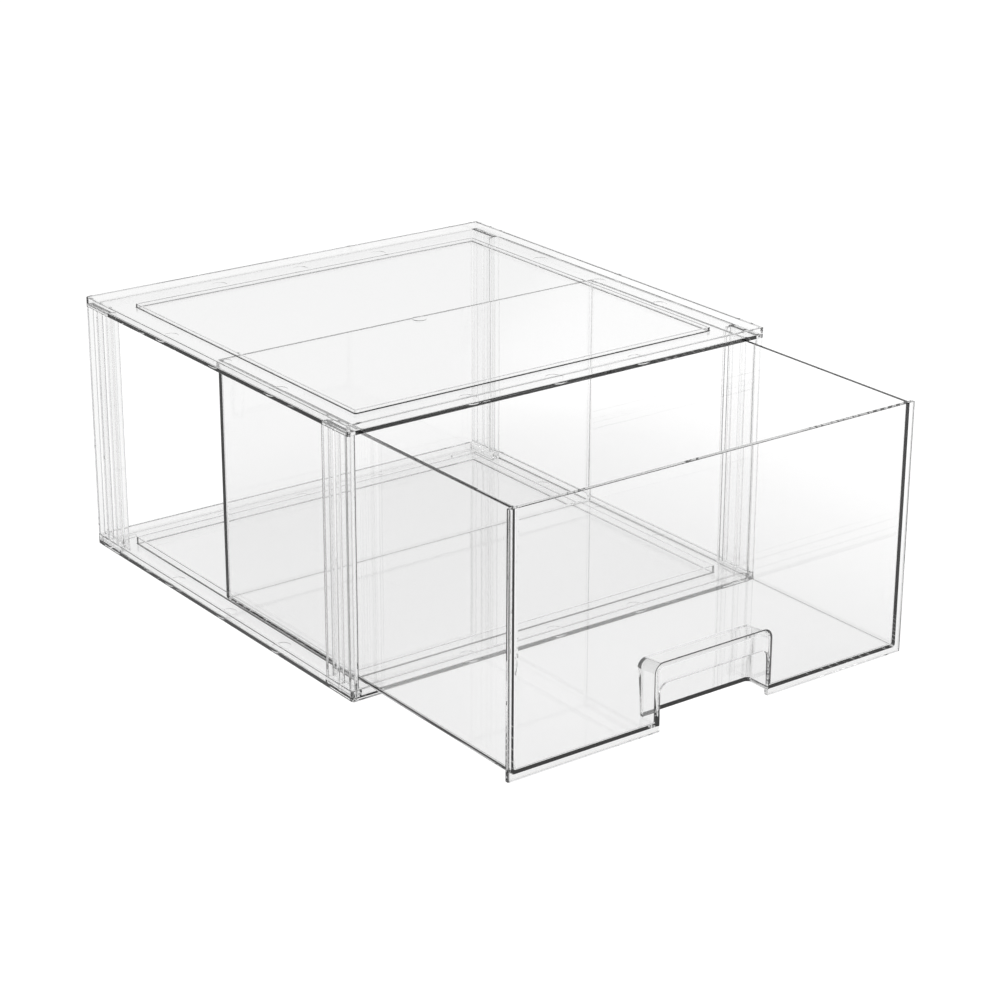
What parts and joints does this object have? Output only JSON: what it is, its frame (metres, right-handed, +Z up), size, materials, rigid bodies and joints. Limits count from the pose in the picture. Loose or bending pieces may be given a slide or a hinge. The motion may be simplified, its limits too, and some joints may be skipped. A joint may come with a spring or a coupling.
{
  "type": "stackable drawer box",
  "caption": "Clear plastic open-sided cabinet of two tray plates on corner posts with one pull-out drawer, for stacking.",
  "frame": {"origin": "centre of the bottom plate's underside, which lies 2 mm above the lugs it stands on", "axes": "+Z up, -Y towards the front where the drawer opens, +X to the right of the front"},
  "size_m": [0.3, 0.4303, 0.167],
  "materials": {
    "clear_plate": "clear polished polystyrene",
    "clear_post": "clear polished polystyrene",
    "clear_drawer": "clear polished polystyrene"
  },
  "bodies": {
    "cabinet": {"top_plate": "clear_plate", "bottom_plate": "clear_plate", "post_front_left": "clear_post", "post_front_right": "clear_post", "post_back_left": "clear_post", "post_back_right": "clear_post"},
    "drawer": {"drawer": "clear_drawer"}
  },
  "joints": [
    {"name": "drawer_slide", "type": "slide", "parent": "cabinet", "child": "drawer", "axis": [0, -1, 0], "range_m": [-0.133, 0.064]}
  ]
}
